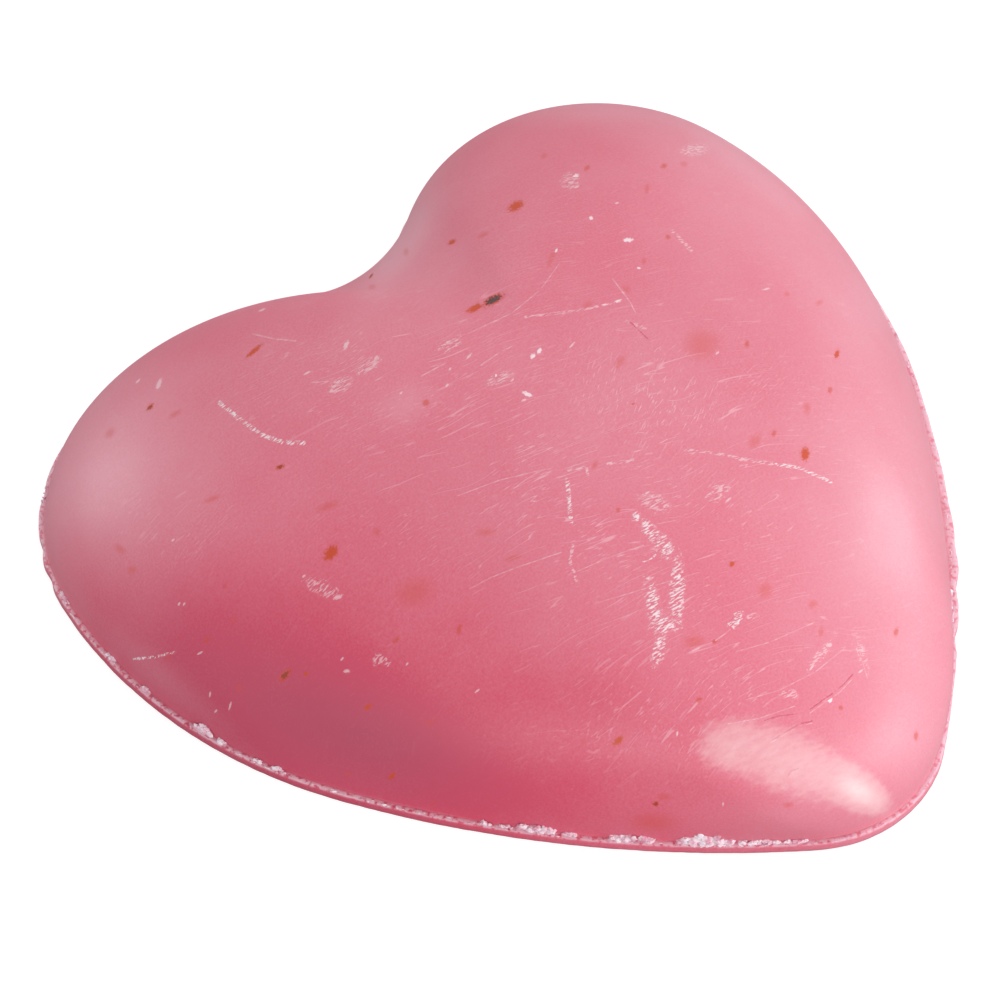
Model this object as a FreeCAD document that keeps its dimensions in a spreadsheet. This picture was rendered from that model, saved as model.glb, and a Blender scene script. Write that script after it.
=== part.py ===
import FreeCAD, Part
import math
import os
import Sketcher

os.makedirs("parts", exist_ok=True)
doc = FreeCAD.newDocument("BarOfSoap")
sheet = doc.addObject("Spreadsheet::Sheet", "Sizes")

sizes = (
    ("total_height", 22.1, "flat back to the crown of the dome"),
    ("lobe_half_spacing", 20.73, "middle to the centre of each lobe"),
    ("lobe_forward", 21.1, "origin to the lobe centres"),
    ("lobe_radius", 18.76, "top of each lobe"),
    ("shoulder_rise", 4.06, "lobe centre to the point where the side begins"),
    ("side_radius", 44.7, "side of the foot"),
    ("flank_radius", 102.5, "long side that runs to the tip"),
    ("tip_radius", 12.0, "tip of the foot"),
    ("tip_reach", 39.86, "origin to the end of the tip"),
    ("cleft_radius", 20.0, "dip between the lobes at the foot"),
    ("crown_side_radius", 20.1, "side, towards the crown"),
    ("crown_tip_radius", 37.0, "tip, towards the crown"),
    ("crown_cleft_radius", 16.0, "dip, towards the crown"),
    ("dome_centre", 10.5, "point towards which the outline shrinks"),
    ("dome_lean", 2.6, "crown leans back towards the tip"),
    ("lip_width", 0.6, "trimmed lip outside the dome's foot"),
    ("lip_thickness", 1.0, "trimmed lip, flat back to its top"),
    ("chip_radius", 1.5, "bite of the largest chip in the lip"),
    ("chip_standoff", 1.4, "dome's foot to the chip centres"),
)
for row, (alias, value, note) in enumerate(sizes, 1):
    sheet.set("A%d" % row, note)
    sheet.set("B%d" % row, str(value))
    sheet.setAlias("B%d" % row, alias)
doc.recompute()

body = doc.addObject("PartDesign::Body", "SoapBar")
body.Label = "soap_bar"


def originPlane(role):
    return next(part for part in body.Origin.OriginFeatures if part.Role == role)


def newSketch(name):
    sketch = body.newObject("Sketcher::SketchObject", name)
    sketch.AttachmentSupport = (originPlane("XY_Plane"), [""])
    sketch.MapMode = "FlatFace"
    return sketch


def bind(sketch, constraint, alias, expression):
    index = sketch.addConstraint(constraint)
    sketch.renameConstraint(index, alias)
    sketch.setExpression("Constraints." + alias, expression)


def addArc(sketch, centre, radius, start, end, construction):
    circle = Part.Circle(FreeCAD.Vector(centre[0], centre[1], 0), FreeCAD.Vector(0, 0, 1), radius)
    sketch.addGeometry(Part.ArcOfCircle(circle, start, end), construction)


def angle(centre, point):
    return math.atan2(point[1] - centre[1], point[0] - centre[0])


def towards(start, end, length):
    span = math.hypot(end[0] - start[0], end[1] - start[1])
    return tuple(a + (b - a) * length / span for a, b in zip(start, end))


def drawHeart(sketch, scale=1.0, rise=0.0, margin="", construction=False):
    # eight tangent arcs, anticlockwise from the tip: tip, right flank, side and lobe, cleft, left lobe,
    # side and flank; margin names a size by which the whole outline stands outside the foot
    def law(alias, crown="", sign=0):
        text = "Sizes." + alias
        value = float(sheet.get(alias))
        if crown:
            text += " + (Sizes.%s - Sizes.%s) * %.6f" % (crown, alias, rise)
            value += (float(sheet.get(crown)) - value) * rise
        if margin and sign:
            text += " %s Sizes.%s" % ("+" if sign > 0 else "-", margin)
            value += sign * float(sheet.get(margin))
        return "(%s) * %.6f" % (text, scale), value * scale

    tipText, tip = law("tip_radius", "crown_tip_radius", 1)
    flankText, flank = law("flank_radius", "", 1)
    sideText, side = law("side_radius", "crown_side_radius", 1)
    lobeText, lobe = law("lobe_radius", "", 1)
    cleftText, cleft = law("cleft_radius", "crown_cleft_radius", -1)
    reachText, reach = law("tip_reach", "", 1)
    acrossText, across = law("lobe_half_spacing")
    forwardText, forward = law("lobe_forward")
    shoulderText, shoulder = law("shoulder_rise")

    lobeCentre = (across, forward)
    turn = math.asin(shoulder / lobe)
    sideCentre = (across + (lobe - side) * math.cos(turn), forward + (lobe - side) * math.sin(turn))
    tipCentre = (0.0, tip - reach)
    gap = math.hypot(sideCentre[0] - tipCentre[0], sideCentre[1] - tipCentre[1])
    along = (gap ** 2 + (flank - tip) ** 2 - (flank - side) ** 2) / (2 * gap)
    aside = math.sqrt((flank - tip) ** 2 - along ** 2)
    ux, uy = (sideCentre[0] - tipCentre[0]) / gap, (sideCentre[1] - tipCentre[1]) / gap
    flankCentre = (tipCentre[0] + ux * along - uy * aside, tipCentre[1] + uy * along + ux * aside)
    cleftCentre = (0.0, forward + math.sqrt((lobe + cleft) ** 2 - across ** 2))
    tipJoint = towards(flankCentre, tipCentre, flank)
    sideJoint = towards(flankCentre, sideCentre, flank)
    cleftJoint = towards(lobeCentre, cleftCentre, lobe)

    tipTurn = angle(tipCentre, tipJoint)
    flankTurn = angle(flankCentre, sideJoint)
    cleftTurn = angle(cleftCentre, cleftJoint)
    lobeTurn = angle(lobeCentre, cleftJoint)
    addArc(sketch, tipCentre, tip, math.pi - tipTurn - 2 * math.pi, tipTurn, construction)
    right = (
        (flankCentre, flank, angle(flankCentre, tipJoint), flankTurn),
        (sideCentre, side, flankTurn, turn),
        (lobeCentre, lobe, turn, lobeTurn),
    )
    for centre, radius, start, end in right:
        addArc(sketch, centre, radius, start, end, construction)
    addArc(sketch, cleftCentre, cleft, math.pi - cleftTurn - 2 * math.pi, cleftTurn, construction)
    for centre, radius, start, end in reversed(right):
        addArc(sketch, (-centre[0], centre[1]), radius, math.pi - end, math.pi - start, construction)

    joints = ((0, 2, 1, 1), (1, 2, 2, 1), (2, 2, 3, 1), (3, 2, 4, 2),
              (4, 1, 5, 1), (5, 2, 6, 1), (6, 2, 7, 1), (7, 2, 0, 1))
    for first, firstEnd, second, secondEnd in joints:
        sketch.addConstraint(Sketcher.Constraint("Tangent", first, firstEnd, second, secondEnd))
    for first, second in ((1, 7), (2, 6), (3, 5)):
        sketch.addConstraint(Sketcher.Constraint("Equal", first, second))
    sketch.addConstraint(Sketcher.Constraint("Symmetric", 3, 3, 5, 3, -2))
    sketch.addConstraint(Sketcher.Constraint("PointOnObject", 0, 3, -2))
    sketch.addConstraint(Sketcher.Constraint("Horizontal", 3, 1, 5, 2))

    for index, alias, text, value in ((0, "tip", tipText, tip), (1, "flank", flankText, flank),
                                      (2, "side", sideText, side), (3, "lobe", lobeText, lobe),
                                      (4, "cleft", cleftText, cleft)):
        bind(sketch, Sketcher.Constraint("Radius", index, value), alias, text)
    bind(sketch, Sketcher.Constraint("DistanceX", -1, 1, 3, 3, across), "across", acrossText)
    bind(sketch, Sketcher.Constraint("DistanceY", -1, 1, 3, 3, forward), "forward", forwardText)
    bind(sketch, Sketcher.Constraint("DistanceY", 0, 3, -1, 1, reach - tip), "reach",
         "%s - (%s)" % (reachText, tipText))
    bind(sketch, Sketcher.Constraint("DistanceY", 3, 3, 3, 1, shoulder), "shoulder", shoulderText)


# the thin trimmed lip round the flat back
lipSketch = newSketch("LipSketch")
drawHeart(lipSketch, margin="lip_width")
lip = body.newObject("PartDesign::Pad", "Lip")
lip.Profile = lipSketch
lip.setExpression("Length", "Sizes.lip_thickness")
doc.recompute()

# the dome: the foot outline shrinks along a quarter ellipse, to a small flat at the crown
domeSteps = 8
domeSketches = []
for step in range(domeSteps + 1):
    turn = math.radians(88 * step / domeSteps)
    rise = math.sin(turn) / math.sin(math.radians(88))
    scale = math.cos(turn)
    sketch = newSketch("DomeSketch%d" % (step + 1))
    drawHeart(sketch, scale, rise)
    sketch.setExpression("AttachmentOffset.Base.y",
                         "Sizes.dome_centre * %.6f - Sizes.dome_lean * %.6f" % (1 - scale, rise))
    sketch.setExpression("AttachmentOffset.Base.z",
                         "Sizes.lip_thickness + (Sizes.total_height - Sizes.lip_thickness) * %.6f" % rise)
    domeSketches.append(sketch)
doc.recompute()
dome = body.newObject("PartDesign::AdditiveLoft", "Dome")
dome.Profile = domeSketches[0]
dome.Sections = domeSketches[1:]
doc.recompute()

# chips broken out of the lip: two on the right flank, three on the left lobe
chipSketch = newSketch("ChipSketch")
drawHeart(chipSketch, margin="chip_standoff", construction=True)
rightFlank = 1
leftLobe = 5
chips = (
    (rightFlank, 21.0, -26.3, -0.657, 0.85),
    (rightFlank, 17.4, -30.3, -0.758, 1.0),
    (leftLobe, -34.0, 36.5, 0.913, 0.7),
    (leftLobe, -38.0, 31.5, 0.788, 0.62),
    (leftLobe, -39.5, 28.2, 0.705, 0.58),
)
for number, (arc, x, y, share, bite) in enumerate(chips, 1):
    chip = chipSketch.addGeometry(Part.Circle(FreeCAD.Vector(x, y, 0), FreeCAD.Vector(0, 0, 1), bite), False)
    chipSketch.addConstraint(Sketcher.Constraint("PointOnObject", chip, 3, arc))
    bind(chipSketch, Sketcher.Constraint("DistanceY", -1, 1, chip, 3, y), "chipPlace%d" % number,
         "Sizes.tip_reach * %.3f" % share)
    bind(chipSketch, Sketcher.Constraint("Radius", chip, bite), "chipBite%d" % number,
         "Sizes.chip_radius * %.2f" % bite)
doc.recompute()
chipPocket = body.newObject("PartDesign::Pocket", "LipChips")
chipPocket.Profile = chipSketch
chipPocket.Reversed = True
chipPocket.setExpression("Length", "Sizes.lip_thickness")
doc.recompute()

body.Tip = chipPocket
doc.recompute()
for item in doc.Objects:
    if "Invalid" in item.State or "Error" in item.State:
        raise RuntimeError("%s is not built: %s" % (item.Name, item.State))
    shape = getattr(item, "Shape", None)
    if shape is not None and item.TypeId.startswith("PartDesign::") and (shape.isNull() or not shape.isValid()):
        raise RuntimeError("%s has no sound shape" % item.Name)

box = body.Shape.BoundBox
print("soap_bar %.2f x %.2f x %.2f mm, %.0f mm3, %d solid" % (
    box.XLength, box.YLength, box.ZLength, body.Shape.Volume, len(body.Shape.Solids)))
body.Shape.exportStep("parts/soap_bar.step")
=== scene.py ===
import bmesh
import bpy
import math
import numpy as np
import random
from mathutils import Matrix, Vector, noise


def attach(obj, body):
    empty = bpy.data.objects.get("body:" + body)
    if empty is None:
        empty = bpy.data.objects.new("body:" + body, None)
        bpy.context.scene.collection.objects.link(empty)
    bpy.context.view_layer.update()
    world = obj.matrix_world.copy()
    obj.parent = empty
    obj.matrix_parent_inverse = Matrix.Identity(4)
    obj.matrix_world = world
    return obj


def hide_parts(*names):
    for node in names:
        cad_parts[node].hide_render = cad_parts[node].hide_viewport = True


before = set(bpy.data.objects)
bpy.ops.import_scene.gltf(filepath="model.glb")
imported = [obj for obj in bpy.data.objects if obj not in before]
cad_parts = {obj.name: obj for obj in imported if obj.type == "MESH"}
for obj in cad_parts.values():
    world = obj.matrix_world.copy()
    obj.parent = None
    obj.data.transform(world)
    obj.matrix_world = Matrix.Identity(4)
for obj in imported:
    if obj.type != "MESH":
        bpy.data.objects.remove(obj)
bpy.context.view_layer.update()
mm = 0.001
random.seed(7)

# the camera as fitted to the photograph's outline; pixels are those of its 1000 x 1000 frame
shot = {
    "azimuth": -41.615,
    "elevation": 52.14,
    "distance": 438.8,
    "target": (-2.624, 8.38, 0.0),
    "pixelsPerMm": 11.117,  # at the target
}
azimuth, elevation = math.radians(shot["azimuth"]), math.radians(shot["elevation"])
back = Vector((math.sin(azimuth) * math.cos(elevation), -math.cos(azimuth) * math.cos(elevation),
               math.sin(elevation)))
right = Vector((math.cos(azimuth), math.sin(azimuth), 0))
up = back.cross(right)
cameraPlace = Vector(shot["target"]) + back * shot["distance"]


def toLinear(code):
    parts = [int(code[i:i + 2], 16) / 255 for i in (1, 3, 5)]
    return [p / 12.92 if p <= 0.04045 else ((p + 0.055) / 1.055) ** 2.4 for p in parts] + [1.0]


def toPixels(points):
    # where points in mm fall in the photograph's frame
    away = np.asarray(points) - np.array(cameraPlace)
    depth = -away @ np.array(back)
    reach = shot["pixelsPerMm"] * shot["distance"]
    return np.stack((500 + reach * (away @ np.array(right)) / depth,
                     500 - reach * (away @ np.array(up)) / depth), axis=1)


def addNode(tree, kind, settings=None, links=None):
    node = tree.nodes.new(kind)
    for key, value in (settings or {}).items():
        if isinstance(key, str) and hasattr(node, key) and key not in node.inputs:
            setattr(node, key, value)
        else:
            node.inputs[key].default_value = value
    for key, source in (links or {}).items():
        tree.links.new(source, node.inputs[key])
    return node


# the same sizes as the solid's, in millimetres; pairs run from the foot to the crown
soap = {
    "height": 22.1,
    "lobeAcross": 20.73,
    "lobeForward": 21.1,
    "lobeRadius": 18.76,
    "shoulderRise": 4.06,
    "sideRadius": (44.7, 20.1),
    "flankRadius": 102.5,
    "tipRadius": (12.0, 37.0),
    "tipReach": 39.86,
    "cleftRadius": (20.0, 16.0),
    "domeCentre": 10.5,
    "domeLean": 2.6,
    "lipWidth": 0.55,
    "lipThickness": 1.0,
    "cellsAcross": 280,
    # rings of the lip from the dome's foot to the back: share of the width, height, crumbliness
    "lipRings": ((0.1, 1.0, 0.3), (0.35, 1.0, 0.9), (0.62, 1.0, 1.0), (0.86, 0.99, 0.9),
                 (0.97, 0.93, 0.3), (1.0, 0.74, 0.0), (1.0, 0.5, 0.0), (1.0, 0.25, 0.0),
                 (0.96, 0.05, 0.0), (0.6, 0.0, 0.0), (-4.0, 0.0, 0.0), (-12.0, 0.0, 0.0)),
    "knobs": 0.09,
    # on the right flank the lip is wider and the dome's foot drawn in, so the lip stands out from it
    "flare": {"middle": (21.0, -25.5), "reach": 13.0, "wider": 0.36, "drawnIn": 0.4},
    # bites in the lip, two on the right flank and three on the left lobe: x, y, reach
    "lipChips": ((20.5, -26.3, 1.1), (16.8, -30.0, 1.2), (-33.5, 35.9, 1.1), (-37.3, 31.1, 1.0),
                 (-38.8, 28.0, 1.0)),
    "chipShare": 0.6,  # of the lip's width that a bite takes
}


def outlineArcs(rise):
    # the right half's tangent arcs from the tip to the cleft: centre, radius, start, end
    def between(pair):
        return pair[0] + (pair[1] - pair[0]) * rise

    lobe, flank = soap["lobeRadius"], soap["flankRadius"]
    side, tip, cleft = (between(soap[name]) for name in ("sideRadius", "tipRadius", "cleftRadius"))
    lobeCentre = Vector((soap["lobeAcross"], soap["lobeForward"]))
    turn = math.asin(soap["shoulderRise"] / lobe)
    sideCentre = lobeCentre + (lobe - side) * Vector((math.cos(turn), math.sin(turn)))
    tipCentre = Vector((0, tip - soap["tipReach"]))
    reach = sideCentre - tipCentre
    along = (reach.length ** 2 + (flank - tip) ** 2 - (flank - side) ** 2) / (2 * reach.length)
    aside = math.sqrt((flank - tip) ** 2 - along ** 2)
    unit = reach.normalized()
    flankCentre = tipCentre + unit * along + Vector((-unit.y, unit.x)) * aside
    cleftCentre = Vector((0, lobeCentre.y + math.sqrt((lobe + cleft) ** 2 - lobeCentre.x ** 2)))

    def heading(start, end):
        return math.atan2(end.y - start.y, end.x - start.x)

    tipTurn = heading(flankCentre, tipCentre)
    sideTurn = heading(flankCentre, sideCentre)
    lobeTurn = heading(lobeCentre, cleftCentre)
    return (
        (tipCentre, tip, -math.pi / 2, tipTurn),
        (flankCentre, flank, tipTurn, sideTurn),
        (sideCentre, side, sideTurn, turn),
        (lobeCentre, lobe, turn, lobeTurn),
        (cleftCentre, cleft, lobeTurn - math.pi, -math.pi / 2),
    )


def outlinePoints(shares, rise):
    # points and outward directions at shares of the way round, anticlockwise from the tip
    arcs = outlineArcs(rise)
    lengths = np.array([radius * abs(end - start) for _, radius, start, end in arcs])
    stops = np.concatenate(([0], np.cumsum(lengths)))
    half = np.where(shares > 0.5, 1 - shares, shares) * 2 * stops[-1]
    index = np.clip(np.searchsorted(stops, half, side="right") - 1, 0, len(arcs) - 1)
    points = np.zeros((len(shares), 2))
    outward = np.zeros((len(shares), 2))
    for number, (centre, radius, start, end) in enumerate(arcs):
        here = index == number
        angle = start + (end - start) * (half[here] - stops[number]) / lengths[number]
        direction = np.stack((np.cos(angle), np.sin(angle)), axis=1)
        points[here] = np.array(centre) + radius * direction
        outward[here] = direction * (1 if number < 4 else -1)
    flip = shares > 0.5
    points[flip, 0] *= -1
    outward[flip, 0] *= -1
    return points, outward


def flareAt(point):
    x, y = soap["flare"]["middle"]
    return math.exp(-((point[0] - x) ** 2 + (point[1] - y) ** 2) / soap["flare"]["reach"] ** 2)


def lipWear(point):
    # how much of the lip is left at a point of the foot outline: 1 is whole, 0 is broken away
    flare = flareAt(point)
    slow = noise.noise(Vector((point[0] * 0.35, point[1] * 0.35, 3.0)))
    quick = noise.noise(Vector((point[0] * 1.1, point[1] * 1.1, 9.0)))
    left = min(1.0, 0.97 + 0.06 * slow + 0.05 * quick)
    left += flare * (soap["flare"]["wider"] / soap["lipWidth"] + 0.1 * quick + 0.2 * slow)
    for x, y, reach in soap["lipChips"]:
        left -= soap["chipShare"] * math.exp(-((point[0] - x) ** 2 + (point[1] - y) ** 2) / reach ** 2)
    return left


def makeSoap():
    cells = soap["cellsAcross"]
    bm = bmesh.new()
    bmesh.ops.create_grid(bm, x_segments=cells, y_segments=cells, size=1.0)
    share = bm.verts.layers.float.new("share")
    crumbly = bm.verts.layers.float.new("crumbly")

    # the square grid is drawn out to a disc, and the disc over the dome
    flat = np.array([v.co[:2] for v in bm.verts])
    x, y = flat[:, 0], flat[:, 1]
    wide = np.abs(x) >= np.abs(y)
    largest = np.where(wide, x, y)
    largest = np.where(largest == 0, 1, largest)
    angle = np.where(wide, math.pi / 4 * y / largest, math.pi / 2 - math.pi / 4 * x / largest)
    angle = np.where(largest < 0, angle + math.pi, angle)
    shares = ((angle + math.pi / 2) / (2 * math.pi)) % 1.0
    levels = np.round(np.maximum(np.abs(x), np.abs(y)) * cells).astype(int)
    place = np.zeros((len(flat), 3))
    for level in np.unique(levels):
        here = levels == level
        turn = math.pi / 2 * (1 - level / cells)
        rise, scale = math.sin(turn), math.cos(turn)
        points, outward = outlinePoints(shares[here], rise)
        drawnIn = np.array([flareAt(point) for point in points]) * soap["flare"]["drawnIn"] * scale ** 2
        points -= outward * drawnIn[:, None]
        place[here, 0] = points[:, 0] * scale
        place[here, 1] = points[:, 1] * scale + soap["domeCentre"] * (1 - scale) - soap["domeLean"] * rise
        place[here, 2] = soap["lipThickness"] + (soap["height"] - soap["lipThickness"]) * rise
    for vert, spot, part in zip(bm.verts, place, shares):
        vert.co = Vector(spot) * mm
        vert[share] = part

    # the lip: the foot's edge is extruded out, down and under, ring by ring
    for out, height, rough in soap["lipRings"]:
        rim = [e for e in bm.edges if e.is_boundary]
        made = bmesh.ops.extrude_edge_only(bm, edges=rim)["geom"]
        ring = [g for g in made if isinstance(g, bmesh.types.BMVert)]
        points, outward = outlinePoints(np.array([v[share] for v in ring]), 0.0)
        for vert, point, away in zip(ring, points, outward):
            left = lipWear(point) if out > 0 else 1.0
            spot = point + away * out * soap["lipWidth"] * left
            knob = noise.noise(Vector((spot[0] * 2.2, spot[1] * 2.2, 5.0 + out))) * soap["knobs"] * rough
            vert.co = Vector((spot[0], spot[1], height * (0.7 + 0.3 * min(left, 1.0)) + knob)) * mm
            vert[crumbly] = rough
    rim = [e for e in bm.edges if e.is_boundary]
    bmesh.ops.contextual_create(bm, geom=rim)
    bmesh.ops.recalc_face_normals(bm, faces=bm.faces[:])
    for face in bm.faces:
        face.smooth = True
    return bm


def finishPiece(bm, name, material):
    mesh = bpy.data.meshes.new(name)
    bm.to_mesh(mesh)
    bm.free()
    piece = bpy.data.objects.new(name, mesh)
    bpy.context.collection.objects.link(piece)
    mesh.materials.append(material)
    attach(piece, "root")
    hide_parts("soap_bar")
    print(name + ":", len(mesh.polygons), "faces")
    return piece


# marks of the surface, in the photograph's pixels: across, down, half length, half width, lean of the
# length in degrees; they were picked out by eye, then mostly measured by a scratch script and rounded
marks = {
    "dark": ((493, 300, 11, 4, 28),),
    "brown": ((285, 675, 7, 3, 44), (656, 804, 3, 2, 0), (150, 407, 4, 2, 45), (371, 276, 3, 1, 50),
              (280, 467, 4, 2, 25)),
    "orange": ((475, 308, 8, 3, 26), (516, 206, 8, 4, 30), (331, 553, 8, 5, 50), (254, 351, 9, 2, 40),
               (452, 242, 4, 2, 26), (837, 354, 4, 2, 75), (805, 454, 6, 4, 85), (732, 564, 3, 2, 40),
               (368, 707, 4, 2, 40), (306, 674, 2, 2, 45), (618, 741, 6, 3, 40), (392, 776, 4, 2, 50)),
    "mild": ((587, 168, 3, 2, 35), (668, 237, 2, 2, 0), (830, 390, 3, 2, 75), (459, 630, 5, 2, 75),
             (396, 640, 4, 2, 50), (207, 640, 3, 2, 50), (664, 166, 3, 2, 25), (715, 641, 3, 2, 20),
             (633, 404, 2, 1, 10), (747, 344, 3, 2, 85), (916, 736, 4, 2, 85), (774, 433, 3, 2, 80),
             (426, 403, 3, 3, 0), (618, 510, 2, 2, 0), (841, 708, 2, 2, 45), (699, 700, 3, 2, 30),
             (896, 632, 4, 2, 80)),
    "soft": ((654, 822, 18, 7, 0), (664, 797, 6, 3, 0), (694, 642, 8, 6, 0), (625, 290, 4, 3, 0),
             (588, 305, 4, 3, 20), (755, 441, 6, 4, 55), (702, 344, 13, 11, 0), (414, 592, 14, 10, 20),
             (807, 408, 5, 3, -80), (765, 590, 6, 5, 80), (328, 506, 10, 3, 20), (486, 532, 7, 3, 6),
             (620, 362, 6, 3, 50), (212, 499, 7, 2, 22), (169, 655, 6, 2, 55), (239, 688, 3, 3, 0),
             (348, 774, 3, 2, -35), (552, 257, 8, 2, 65), (110, 433, 5, 3, 45), (175, 414, 6, 2, 33),
             (377, 532, 3, 3, 0), (821, 632, 4, 2, 85), (813, 604, 4, 3, 30), (483, 235, 5, 2, 28),
             (120, 549, 5, 3, -40), (132, 570, 4, 3, 48), (234, 620, 3, 2, 24), (225, 586, 2, 2, 0),
             (430, 722, 4, 2, 30), (433, 803, 3, 2, 80), (819, 303, 3, 2, 30), (406, 252, 3, 2, 75),
             (513, 558, 7, 2, 17), (684, 164, 3, 2, 0), (644, 261, 3, 2, 80), (544, 156, 3, 2, 30),
             (647, 189, 4, 2, 85), (372, 287, 3, 2, 15), (787, 294, 2, 2, 0), (688, 452, 2, 2, 0),
             (595, 465, 4, 2, 60), (584, 742, 2, 2, 0), (741, 757, 3, 2, 15), (788, 805, 4, 2, 0)),
    "bright": ((527, 394, 5, 2, -23), (533, 356, 3, 2, 40), (539, 351, 3, 2, 55), (496, 375, 2, 1, 60),
               (628, 240, 5, 2, 0), (591, 218, 2, 2, 20), (576, 176, 3, 2, 20), (830, 700, 3, 2, 55),
               (639, 268, 2, 1, 0), (637, 517, 4, 3, 70), (556, 251, 3, 1, 65)),
    "chip": ((524, 400, 3, 1, 20), (506, 379, 3, 1, 30), (512, 380, 2, 1, 45), (450, 369, 2, 1, 55),
             (447, 385, 2, 1, 60), (572, 345, 4, 1, 45), (570, 180, 3, 1, 35), (576, 187, 3, 1, 15),
             (617, 203, 2, 1, 10), (688, 152, 5, 1, 35), (700, 147, 5, 1, 5), (766, 289, 4, 1, 15),
             (717, 353, 2, 1, 40), (346, 345, 5, 2, 65), (307, 373, 4, 1, 26),
             (361, 371, 4, 1, 30), (377, 358, 3, 2, 35), (340, 382, 5, 2, 20),
             (333, 390, 4, 2, 30), (448, 342, 4, 1, 20), (469, 356, 4, 1, 50), (401, 393, 2, 1, 45),
             (159, 384, 6, 2, 65), (138, 381, 3, 1, 45), (262, 310, 4, 1, 24), (173, 540, 2, 1, 45),
             (179, 604, 2, 1, 60), (184, 604, 2, 1, 60), (200, 653, 3, 1, 30), (347, 671, 3, 2, 15),
             (342, 659, 2, 1, 45), (304, 576, 2, 1, 35), (319, 588, 5, 2, 6), (338, 597, 5, 2, 22),
             (407, 664, 2, 1, 45), (477, 691, 3, 1, 40), (230, 706, 4, 1, 78), (210, 694, 3, 1, 80),
             (216, 711, 2, 1, 55), (812, 667, 5, 1, 50), (829, 645, 3, 2, 25), (861, 671, 3, 1, 30),
             (677, 734, 3, 1, 75), (723, 804, 2, 1, 78), (661, 505, 4, 1, 30),
             (647, 493, 3, 1, 32), (656, 501, 3, 1, 32), (728, 500, 4, 1, 40), (719, 490, 5, 1, 50)),
    # rubbed patches, toothed along the fine scratches
    "scuff": ((650, 531, 13, 6, -52), (664, 546, 12, 8, -60), (677, 592, 34, 7, 88), (653, 606, 26, 7, -80),
              (665, 625, 14, 8, 0), (659, 650, 16, 6, 75), (735, 621, 11, 5, 55), (636, 516, 5, 4, 70)),
    "light": ((751, 617, 8, 3, 20), (383, 660, 8, 4, -40), (378, 660, 6, 5, 60), (789, 694, 10, 5, -10),
              (820, 655, 18, 4, 52), (570, 181, 9, 8, 0), (340, 385, 12, 7, 30), (368, 365, 14, 6, 30),
              (322, 588, 18, 7, -25), (450, 345, 14, 6, 30), (500, 378, 14, 5, 20), (694, 150, 14, 6, 5),
              (718, 492, 14, 7, 40), (655, 503, 16, 8, -20), (862, 655, 20, 4, -75)),
}
# long marks: their look, half width, points on the way
scratches = (
    ("scuff", 2.2, (220, 403), (238, 418), (262, 435), (282, 442), (304, 443)),
    ("faint", 0.8, (253, 334), (275, 339), (296, 341)), ("light", 1.3, (525, 317), (575, 311), (600, 306)),
    ("scuff", 1.2, (600, 306), (622, 300)), ("faint", 0.6, (467, 334), (512, 313), (540, 290), (559, 264)),
    ("faint", 0.7, (612, 278), (630, 302), (636, 314)), ("light", 1.6, (626, 321), (645, 328)),
    # a crack, its darker pink painted shade
    ("creaseShade", 0.8, (630, 322), (648, 339)),
    ("light", 2.0, (736, 458), (775, 464)), ("scuff", 1.6, (775, 464), (800, 468), (831, 482)),
    ("light", 2.0, (672, 231), (691, 250)), ("scuff", 2.2, (567, 480), (569, 500), (571, 522)),
    ("scuff", 1.3, (134, 659), (155, 657), (175, 652)), ("faint", 0.7, (420, 377), (447, 362)),
    ("light", 1.6, (573, 545), (570, 562), (577, 582)), ("faint", 0.7, (480, 366), (500, 352), (512, 346)),
    ("scuff", 0.9, (668, 543), (652, 558), (643, 562)), ("light", 1.5, (568, 470), (586, 467), (588, 476)),
    ("light", 1.5, (608, 464), (634, 460)), ("light", 1.5, (685, 450), (708, 452), (740, 458)),
    # cracks near the tip, their darker pink painted shade
    ("creaseShade", 0.8, (853, 674), (839, 689), (827, 697), (809, 710)),
    ("creaseShade", 0.8, (812, 721), (799, 724), (789, 730), (770, 741)),
    ("creaseShade", 0.6, (795, 714), (778, 716), (763, 721)), ("creaseShade", 0.6, (799, 768), (791, 771), (787, 777)),
    # painted highlights along the edges of the two cracks above
    ("faint", 0.5, (854, 677), (840, 692), (828, 700), (810, 713)),
    ("faint", 0.5, (812, 723), (799, 726), (789, 732), (770, 743)),
    ("faint", 0.6, (857, 640), (862, 660), (868, 680)),
    ("faint", 0.6, (469, 589), (492, 577), (515, 568), (562, 552)),
    ("faint", 0.5, (573, 573), (610, 557), (644, 545)), ("faint", 0.5, (457, 496), (500, 480), (546, 469)),
    ("faint", 0.5, (597, 603), (640, 590), (700, 572)), ("faint", 0.5, (735, 652), (770, 642), (815, 622)),
    ("faint", 0.5, (745, 700), (780, 690), (815, 672), (845, 648)),
    ("faint", 0.6, (692, 651), (715, 641), (731, 629)), ("faint", 0.6, (728, 724), (760, 718), (795, 706)),
)


def markTable():
    # one row per mark: middle, unit vector along it, straight half length, two half sizes, look
    looks = {"orange": (1, 0, 0, 0), "dark": (1, 1, 0, 0), "brown": (1, 0.5, 0, 0), "mild": (0.6, 0, 0, 0),
             "soft": (0.3, 0, 0, 0), "bright": (0, 0, 1, 0), "chip": (0, 0, 0.55, 0), "scuff": (0, 0, 0, 1),
             # a crease mark is a darker pink line of painted shade in a crack
             "light": (0, 0, 0, 0.5), "faint": (0, 0, 0.15, 0.4), "creaseShade": (0, 0.6, 0, 0)}
    rows = []
    for kind, spots in marks.items():
        for across, down, long, thin, lean in spots:
            turn = math.radians(lean)
            rows.append((across, down, math.cos(turn), -math.sin(turn), 0.0, long, thin) + looks[kind])
    for kind, thin, *way in scratches:
        for start, end in zip(way, way[1:]):
            reach = Vector(end) - Vector(start)
            middle = (Vector(start) + Vector(end)) / 2
            unit = reach.normalized()
            rows.append((middle.x, middle.y, unit.x, unit.y, reach.length / 2, thin, thin) + looks[kind])
    return np.array(rows)


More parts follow.
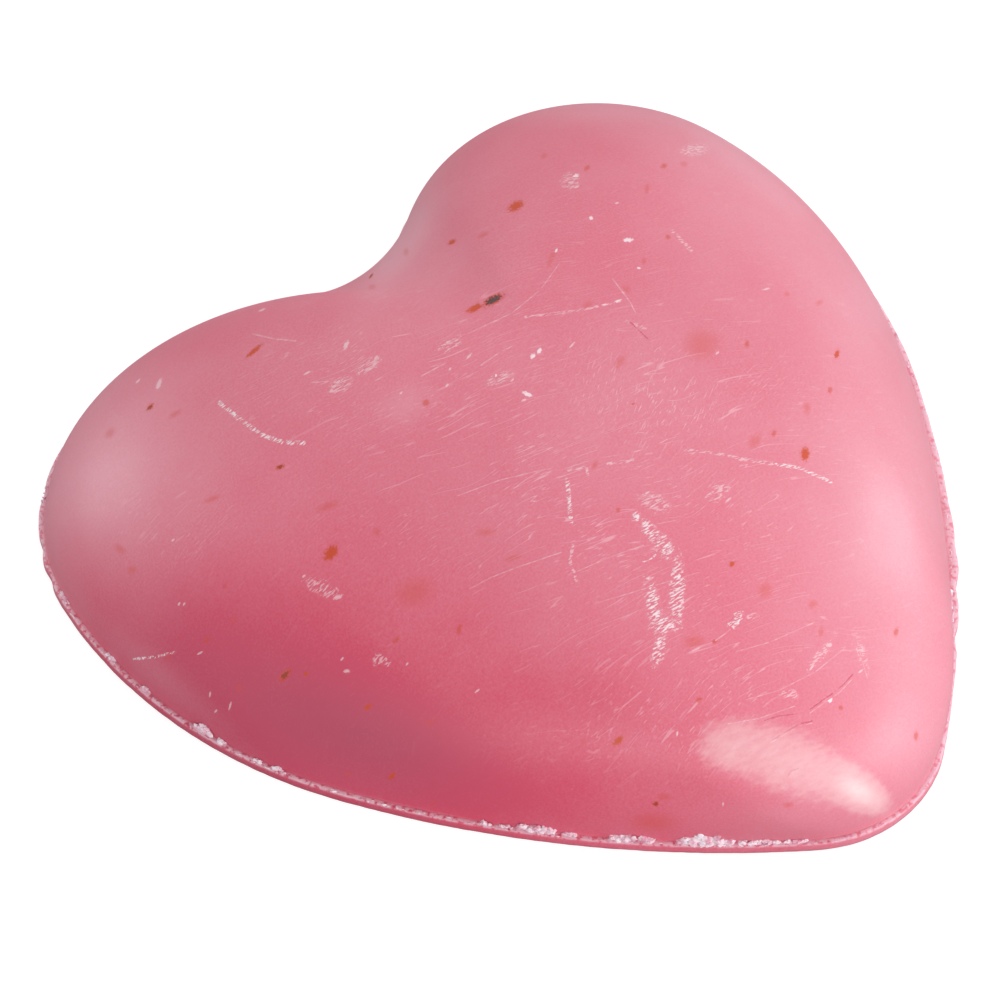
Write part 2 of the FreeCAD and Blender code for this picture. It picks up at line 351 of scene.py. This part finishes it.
def setMarks(mesh):
    # each face takes its nearest mark: where its corners lie within it, and the mark's look
    count = len(mesh.polygons)
    places = np.zeros(len(mesh.vertices) * 3)
    mesh.vertices.foreach_get("co", places)
    places = places.reshape(-1, 3)
    pixels = toPixels(places / mm)
    middles = np.zeros(count * 3)
    mesh.polygons.foreach_get("center", middles)
    middles = middles.reshape(-1, 3)
    normals = np.zeros(count * 3)
    mesh.polygons.foreach_get("normal", normals)
    facing = (normals.reshape(-1, 3) * (np.array(cameraPlace) * mm - middles)).sum(axis=1) > 0
    spots = toPixels(middles / mm)

    table = markTable()
    nearest = np.full(count, 3.0)
    owner = np.full(count, -1)
    for number, row in enumerate(table):
        away = spots - row[:2]
        along = away @ row[2:4]
        along = np.sign(along) * np.maximum(np.abs(along) - row[4], 0)
        aside = away @ np.array((-row[3], row[2]))
        far = np.hypot(along / (row[5] + 2), aside / (row[6] + 2))
        closer = (far < nearest) & facing
        nearest[closer] = far[closer]
        owner[closer] = number

    starts = np.zeros(count, dtype=int)
    totals = np.zeros(count, dtype=int)
    mesh.polygons.foreach_get("loop_start", starts)
    mesh.polygons.foreach_get("loop_total", totals)
    corners = np.zeros(len(mesh.loops), dtype=int)
    mesh.loops.foreach_get("vertex_index", corners)
    mine = np.repeat(owner, totals)
    rows = table[np.maximum(mine, 0)]
    away = pixels[corners] - rows[:, :2]
    along = (away * rows[:, 2:4]).sum(axis=1)
    along = np.sign(along) * np.maximum(np.abs(along) - rows[:, 4], 0) / rows[:, 5]
    aside = (away[:, 1] * rows[:, 2] - away[:, 0] * rows[:, 3]) / rows[:, 6]
    place = np.stack((along, aside, rows[:, 6]), axis=1)
    place[mine < 0] = (9, 9, 1)
    look = rows[:, 7:11].copy()
    look[mine < 0] = 0
    mesh.attributes.new("markPlace", "FLOAT_VECTOR", "CORNER").data.foreach_set("vector", place.ravel())
    mesh.attributes.new("markLook", "FLOAT_COLOR", "CORNER").data.foreach_set("color", look.ravel())


# how pale the surface is, partly real chalky bloom and partly painted highlights and sheen where the lamps
# fall, with negative amounts as painted shade on the lower left: across, down, half width, half height in
# pixels, lean, amount
bloomAndPaintedLight = {
    "even": 0.44,
    "patches": (
        (910, 500, 110, 260, 0, 0.34), (105, 485, 95, 100, 0, 0.5), (270, 700, 230, 110, -25, -0.5),
        (620, 410, 120, 90, 0, 0.15), (870, 310, 45, 60, -60, 0.2), (800, 815, 90, 25, 0, 0.15),
        (560, 790, 190, 90, -10, -0.3), (400, 620, 120, 110, 0, -0.12), (408, 402, 30, 20, 20, 0.25),
        (165, 680, 80, 16, -40, 0.35), (405, 235, 65, 18, 58, 0.4), (620, 110, 110, 13, 0, 0.2),
        (740, 158, 80, 15, -38, 0.2), (560, 690, 60, 40, 0, -0.14),
        (405, 250, 60, 60, -50, 0.25), (760, 170, 150, 90, -45, 0.3), (885, 530, 35, 60, 0, 0.3),
        (920, 720, 50, 90, 0, 0.25),
    ),
    # the tip's chalky scuffing with a painted highlight on it, whose core is the last patch
    "chalkAndHighlight": ((790, 762, 78, 34, -22, 0.46), (722, 750, 30, 22, 0, 0.25), (860, 792, 26, 14, -30, 0.85)),
    "rubbed": ((620, 460, 240, 180, 0, 1.0), (770, 660, 120, 70, 20, 0.6), (350, 370, 110, 45, 15, 0.7),
               (170, 520, 70, 50, 0, 0.5), (600, 200, 90, 50, 0, 0.2), (650, 730, 100, 40, 0, 0.4)),
    # where the fine scratches run steeper, and painted shade that makes the lower left darker and duller
    "steep": ((700, 370, 140, 80, 0, 1.3), (470, 640, 90, 70, 0, 0.8)),
    "paintedShade": ((250, 700, 190, 90, -28, 0.42), (400, 745, 120, 50, -18, 0.33)),
}


def setBloomAndPaintedLight(mesh):
    places = np.zeros(len(mesh.vertices) * 3)
    mesh.vertices.foreach_get("co", places)
    pixels = toPixels(places.reshape(-1, 3) / mm)

    def cover(spots):
        total = np.zeros(len(pixels))
        for across, down, wide, high, lean, amount in spots:
            turn = math.radians(lean)
            away = pixels - (across, down)
            along = away[:, 0] * math.cos(turn) - away[:, 1] * math.sin(turn)
            aside = away[:, 0] * math.sin(turn) + away[:, 1] * math.cos(turn)
            total += amount * np.exp(-((along / wide) ** 2 + (aside / high) ** 2))
        return total

    amounts = {name: cover(bloomAndPaintedLight[name]) for name in ("chalkAndHighlight", "rubbed", "steep", "paintedShade")}
    amounts["bloomAndPaintedLight"] = bloomAndPaintedLight["even"] + cover(bloomAndPaintedLight["patches"])
    for name, amount in amounts.items():
        mesh.attributes.new(name, "FLOAT", "POINT").data.foreach_set("value", np.clip(amount, 0, 1))


def soapMaterial():
    # milled toilet soap pressed in a mould, rubbed and scratched since
    material = bpy.data.materials.new("milledToiletSoap")
    material.use_nodes = True
    tree = material.node_tree
    tree.nodes.clear()
    place = addNode(tree, "ShaderNodeTexCoord").outputs["Object"]

    def attribute(name):
        return addNode(tree, "ShaderNodeAttribute", {"attribute_name": name})

    def maths(kind, first, second=None, clamp=False):
        node = addNode(tree, "ShaderNodeMath", {"operation": kind, "use_clamp": clamp})
        for number, value in enumerate((first, second)):
            if value is None:
                continue
            if isinstance(value, (int, float)):
                node.inputs[number].default_value = value
            else:
                tree.links.new(value, node.inputs[number])
        return node.outputs[0]

    def ramp(source, low, high):
        # 0 at low, 1 at high, smooth between; low may be the larger
        return addNode(tree, "ShaderNodeMapRange", {"interpolation_type": "SMOOTHSTEP", "From Min": low,
                                                    "From Max": high}, {"Value": source}).outputs[0]

    def blend(factor, under, over):
        node = addNode(tree, "ShaderNodeMix", {"data_type": "RGBA"}, {0: factor})
        for number, value in ((6, under), (7, over)):
            if isinstance(value, list):
                node.inputs[number].default_value = value
            else:
                tree.links.new(value, node.inputs[number])
        return node.outputs[2]

    drift = addNode(tree, "ShaderNodeTexNoise", {"Scale": 80.0, "Detail": 1.0}, {"Vector": place})
    shift = addNode(tree, "ShaderNodeVectorMath", {"operation": "SCALE", "Scale": 5.0 * mm},
                    {0: drift.outputs["Color"]})
    wavy = addNode(tree, "ShaderNodeVectorMath", {"operation": "ADD"},
                   {0: place, 1: shift.outputs[0]}).outputs[0]

    def grain(perMm, detail=1.0, drawn=(1, 1, 1), turn=0.0, source=place):
        # noise drawn out along its own axes, which are turned in plan
        mapped = addNode(tree, "ShaderNodeMapping",
                         {"vector_type": "TEXTURE", "Scale": drawn, "Rotation": (0, 0, math.radians(turn))},
                         {"Vector": source})
        return addNode(tree, "ShaderNodeTexNoise", {"Scale": perMm / mm, "Detail": detail},
                       {"Vector": mapped.outputs[0]}).outputs["Fac"]

    # body colour: deep rose where the skin is clean, paler under the bloom and the painted highlights and
    # sheen, darker under the painted shade, a little mottled
    clouds = grain(0.12, 2.0)
    speckle = grain(5.0, 2.0)
    uneven = maths("ADD", maths("MULTIPLY", maths("SUBTRACT", clouds, 0.5), 0.3),
                   maths("MULTIPLY", maths("SUBTRACT", speckle, 0.5), 0.45))
    paleness = maths("ADD", attribute("bloomAndPaintedLight").outputs["Fac"], uneven, True)
    colour = blend(paleness, toLinear("#DB4F6B"), toLinear("#E69FAE"))
    # painted shade: a darker, duller rose on the lower left
    colour = blend(attribute("paintedShade").outputs["Fac"], colour, toLinear("#A64A64"))

    # fine scratches, most of them along the heart's width: hairlines are the level lines of a drawn-out
    # noise, short strokes its peaks
    rubbed = attribute("rubbed").outputs["Fac"]
    patchy = ramp(grain(0.16, 1.0), 0.3, 0.62)
    level = maths("ABSOLUTE", maths("SUBTRACT", grain(1.1, 1.0, (16, 1, 8), -18, wavy), 0.5))
    hair = maths("MULTIPLY", ramp(level, 0.012, 0.003), ramp(grain(1.0, 1.0, (3, 1, 1), -14), 0.46, 0.58))
    steep = attribute("steep").outputs["Fac"]
    strokes = maths("MULTIPLY", ramp(grain(6.5, 1.0, (7, 1, 4), -12, wavy), 0.6, 0.76),
                    maths("SUBTRACT", 1.0, steep))
    steeper = maths("MULTIPLY", ramp(grain(7.5, 1.0, (6, 1, 4), 20, wavy), 0.57, 0.74), steep)
    lines = maths("MAXIMUM", hair, maths("MULTIPLY", maths("MAXIMUM", strokes, steeper), patchy))
    lines = maths("MULTIPLY", lines, rubbed)
    colour = blend(maths("MULTIPLY", lines, 0.5), colour, toLinear("#F9CBD5"))

    # marks
    spot = addNode(tree, "ShaderNodeSeparateXYZ", links={0: attribute("markPlace").outputs["Vector"]})
    markLook = attribute("markLook")
    look = addNode(tree, "ShaderNodeSeparateColor", links={0: markLook.outputs["Color"]})
    scuffs = markLook.outputs["Alpha"]
    far = maths("SQRT", maths("ADD", maths("POWER", maths("ABSOLUTE", spot.outputs[0]), 2.0),
                              maths("POWER", maths("ABSOLUTE", spot.outputs[1]), 2.0)))
    ragged = maths("ADD", far, maths("MULTIPLY", maths("SUBTRACT", grain(5.0, 2.0), 0.5), 1.7))
    core = ramp(ragged, 1.3, 0.6)
    halo = ramp(far, 2.0, 0.2)
    teeth = ramp(grain(7.5, 1.0, (4, 1, 3), -12), 0.44, 0.6)
    orange = look.outputs[0]
    colour = blend(maths("MULTIPLY", maths("MULTIPLY", halo, ramp(orange, 0.0, 0.3)), 0.4), colour,
                   toLinear("#D4503F"))
    colour = blend(maths("MULTIPLY", core, ramp(orange, 0.3, 1.0)), colour, toLinear("#CE4E2C"))
    # the dark flecks' brown-black cores, and the cracks' darker pink, which is painted shade
    darkFleckAndCreaseShade = blend(orange, toLinear("#CF3F60"), toLinear("#59393A"))
    colour = blend(maths("MULTIPLY", ramp(ragged, 0.9, 0.5), look.outputs[1]), colour, darkFleckAndCreaseShade)
    white = maths("MAXIMUM", maths("MULTIPLY", core, look.outputs[2]),
                  maths("MULTIPLY", maths("MULTIPLY", ramp(ragged, 1.3, 0.6), teeth), scuffs))
    colour = blend(maths("MULTIPLY", white, 0.85), colour, toLinear("#FBE9EE"))

    # chalky rubbed end of the heart with a painted highlight on it, its edge a little ragged and its middle,
    # the painted highlight's core, the palest
    chalkAndHighlightAmount = attribute("chalkAndHighlight").outputs["Fac"]
    streaks = maths("SUBTRACT", grain(3.0, 2.0, (3, 1, 2), -20), 0.5)
    edge = ramp(maths("ADD", chalkAndHighlightAmount, maths("MULTIPLY", streaks, 0.18)), 0.1, 0.3)
    depth = maths("ADD", maths("MULTIPLY", maths("ADD", chalkAndHighlightAmount, maths("MULTIPLY", streaks, 0.5)), 0.6), 0.08)
    colour = blend(maths("MULTIPLY", edge, depth), colour, toLinear("#FFE8E6"))

    # crumbs along the top of the trimmed lip
    crumbs = maths("MULTIPLY", attribute("crumbly").outputs["Fac"], ramp(grain(2.2, 2.0), 0.36, 0.52))
    colour = blend(maths("MULTIPLY", crumbs, 0.75), colour, toLinear("#F1D3DF"))

    height = maths("ADD", maths("MULTIPLY", lines, 0.3), maths("MULTIPLY", white, 0.8))
    height = maths("ADD", height, maths("MULTIPLY", speckle, 0.1))
    height = maths("SUBTRACT", height, maths("MULTIPLY", core, look.outputs[1]))
    bump = addNode(tree, "ShaderNodeBump", {"Strength": 0.5, "Distance": 0.12 * mm}, {"Height": height})
    skin = addNode(tree, "ShaderNodeBsdfPrincipled", {
        "Roughness": 0.42,
        "IOR": 1.46,
        "Subsurface Weight": 0.3,
        "Subsurface Radius": (1.0, 0.45, 0.5),
        "Subsurface Scale": 1.2 * mm,
    }, {"Base Color": colour, "Normal": bump.outputs[0]})
    addNode(tree, "ShaderNodeOutputMaterial", links={"Surface": skin.outputs[0]})
    return material


soapBar = finishPiece(makeSoap(), "soap_bar_skin", soapMaterial())
setMarks(soapBar.data)
setBloomAndPaintedLight(soapBar.data)

# crumbs that the trimming left standing on the lip
crumbs = {
    # heaps, read off the photograph: across, down, half length in pixels, height in mm
    "heaps": (
        (144, 692, 4, 0.7), (202, 734, 9, 1.3), (221, 743, 4, 0.7), (258, 760, 3, 0.4), (278, 772, 7, 0.4),
        (110, 660, 8, 0.3), (485, 830, 5, 0.5), (505, 832, 5, 0.4), (522, 831, 4, 1.1), (541, 833, 13, 1.1),
        (569, 839, 6, 0.4), (614, 843, 5, 0.9), (634, 842, 17, 1.1), (686, 843, 6, 1.4), (700, 840, 9, 2.2),
        (715, 842, 6, 2.0), (729, 846, 5, 1.1), (743, 849, 5, 0.6), (764, 849, 14, 0.7), (796, 849, 10, 0.5),
        (952, 672, 6, 0.4), (954, 640, 4, 0.4), (955, 617, 5, 0.9), (954, 606, 3, 0.8), (955, 593, 4, 0.5),
        (60, 600, 8, 0.3), (48, 500, 4, 0.4),
    ),
    # in mm: sizes, and how far out from the dome's foot the crumbs lie
    "heapSize": (0.16, 0.28),
    "heapOut": (-0.05, 0.25),
    "heapFoot": 0.15,  # below the lip's top
    "small": 420,
    "smallSize": (0.06, 0.12),
    "smallOut": (0.2, 0.44),
    "smallSunk": (0.0, 0.05),
}


def sharesOf(pixels):
    # the shares of the outline whose lip is nearest to places in the photograph
    shares = np.linspace(0, 1, 6000, endpoint=False)
    points, outward = outlinePoints(shares, 0.0)
    rim = toPixels(np.column_stack((points + outward * 0.3, np.full(len(shares), soap["lipThickness"]))))
    return [shares[np.argmin(np.hypot(*(rim - spot).T))] for spot in pixels]


def addCrumb(bm, share, out, height, size, cuts):
    points, outward = outlinePoints(np.array([share % 1.0]), 0.0)
    away = Vector((outward[0][0], outward[0][1], 0))
    along = Vector((-away.y, away.x, 0))
    base = Vector((points[0][0], points[0][1], height)) + away * out
    seed = Vector((share * 900, height * 7, 0))
    for vert in bmesh.ops.create_icosphere(bm, subdivisions=cuts, radius=1.0)["verts"]:
        knob = vert.co * (1 + 0.6 * noise.noise(vert.co * 1.4 + seed))
        spot = base + along * knob.x * size[0] + away * knob.y * size[1]
        spot.z = max(0.02, base.z + knob.z * size[2])
        vert.co = spot * mm


def makeCrumbs():
    bm = bmesh.new()
    lipTop = soap["lipThickness"]
    outlineLength = sum(2 * radius * abs(end - start) for _, radius, start, end in outlineArcs(0.0))
    pixelShare = 1 / (shot["pixelsPerMm"] * outlineLength)
    places = [(across, down) for across, down, _, _ in crumbs["heaps"]]
    for share, (_, _, half, tall) in zip(sharesOf(places), crumbs["heaps"]):
        for _ in range(3 + half * 2):
            # lower towards the heap's ends, and larger where it is tall
            offset = random.uniform(-1, 1)
            rise = tall * (1 - 0.5 * offset ** 2) * random.uniform(0.2, 1.0)
            size = random.uniform(*crumbs["heapSize"]) * (0.55 + 0.6 * tall)
            addCrumb(bm, share + offset * half * pixelShare, random.uniform(*crumbs["heapOut"]),
                     lipTop - crumbs["heapFoot"] + 0.6 * rise, (size, size * 0.7, size), 2)
    for _ in range(crumbs["small"]):
        size = random.uniform(*crumbs["smallSize"])
        addCrumb(bm, random.random(), random.uniform(*crumbs["smallOut"]),
                 lipTop - random.uniform(*crumbs["smallSunk"]),
                 (size * random.uniform(1, 2.5), size * 0.7, size * 0.7), 1)
    bmesh.ops.recalc_face_normals(bm, faces=bm.faces[:])
    return bm


def crumbMaterial():
    # dry soap crumbs, whiter than the body because they are rough all through
    material = bpy.data.materials.new("drySoapCrumb")
    material.use_nodes = True
    tree = material.node_tree
    tree.nodes.clear()
    place = addNode(tree, "ShaderNodeTexCoord").outputs["Object"]
    patches = addNode(tree, "ShaderNodeTexNoise", {"Scale": 1.2 / mm, "Detail": 2.0}, {"Vector": place})
    colour = addNode(tree, "ShaderNodeValToRGB", links={"Fac": patches.outputs["Fac"]})
    colour.color_ramp.elements[0].position = 0.35
    colour.color_ramp.elements[0].color = toLinear("#E2A0B5")
    colour.color_ramp.elements[1].position = 0.6
    colour.color_ramp.elements[1].color = toLinear("#F6E6EE")
    skin = addNode(tree, "ShaderNodeBsdfPrincipled", {"Roughness": 0.6, "IOR": 1.46},
                   {"Base Color": colour.outputs[0]})
    addNode(tree, "ShaderNodeOutputMaterial", links={"Surface": skin.outputs[0]})
    return material


finishPiece(makeCrumbs(), "lip_crumbs", crumbMaterial())

# pale card under the soap: the camera sees it white, the soap a greyer one
bpy.ops.mesh.primitive_plane_add(size=8.0, location=(0, 0, 0))
floor = bpy.context.object
floor.name = "floor"
floorPaint = bpy.data.materials.new("paleCard")
floorPaint.use_nodes = True
tree = floorPaint.node_tree
tree.nodes.clear()
card = addNode(tree, "ShaderNodeBsdfDiffuse", {"Color": toLinear("#A0A0A0")})
lift = addNode(tree, "ShaderNodeEmission", {"Color": (1, 1, 1, 1), "Strength": 0.8})
ray = addNode(tree, "ShaderNodeLightPath")
dark = addNode(tree, "ShaderNodeEmission", {"Strength": 0.0})
seen = addNode(tree, "ShaderNodeMixShader", links={0: ray.outputs["Is Camera Ray"], 1: dark.outputs[0],
                                                   2: lift.outputs[0]})
both = addNode(tree, "ShaderNodeAddShader", links={0: card.outputs[0], 1: seen.outputs[0]})
addNode(tree, "ShaderNodeOutputMaterial", links={"Surface": both.outputs[0]})
floor.data.materials.append(floorPaint)

world = bpy.data.worlds.new("studio")
world.use_nodes = True
bpy.context.scene.world = world
world.node_tree.nodes["Background"].inputs["Color"].default_value = (1, 1, 1, 1)
world.node_tree.nodes["Background"].inputs["Strength"].default_value = 0.6

# lamps: turn and height about the soap in degrees, power in watts; the powers began as a fit to the
# photograph's colours and were then changed
lampDistance, lampWidth = 1.2, 0.5
lamps = {
    "key": (22, 10, 6.3),
    "side": (75, 20, 3.7),
    "left": (-60, 8, 2.5),
    "high": (80, 58, 1.7),
    "front": (-25, 12, 2.4),
    "behind": (205, 10, 1.9),
    "above": (160, 45, 1.2),
}
for name, (turn, lift, power) in lamps.items():
    light = bpy.data.lights.new(name, "AREA")
    light.shape = "DISK"
    light.size = lampWidth
    light.energy = power
    lamp = bpy.data.objects.new(name, light)
    turn, lift = math.radians(turn), math.radians(lift)
    lamp.location = lampDistance * Vector((math.sin(turn) * math.cos(lift),
                                           -math.cos(turn) * math.cos(lift), math.sin(lift)))
    lamp.rotation_mode = "QUATERNION"
    lamp.rotation_quaternion = lamp.location.to_track_quat("Z", "Y")
    bpy.context.collection.objects.link(lamp)

camera = bpy.data.objects.new("camera", bpy.data.cameras.new("camera"))
camera.data.sensor_width = 36
camera.data.lens = 36 * shot["pixelsPerMm"] * shot["distance"] / 1000
camera.data.clip_start, camera.data.clip_end = 0.01, 10
camera.matrix_world = Matrix.Translation(cameraPlace * mm) @ Matrix((right, up, back)).transposed().to_4x4()
bpy.context.collection.objects.link(camera)
bpy.context.scene.camera = camera
bpy.context.scene.view_settings.view_transform = "Standard"
print("lamps and camera set")
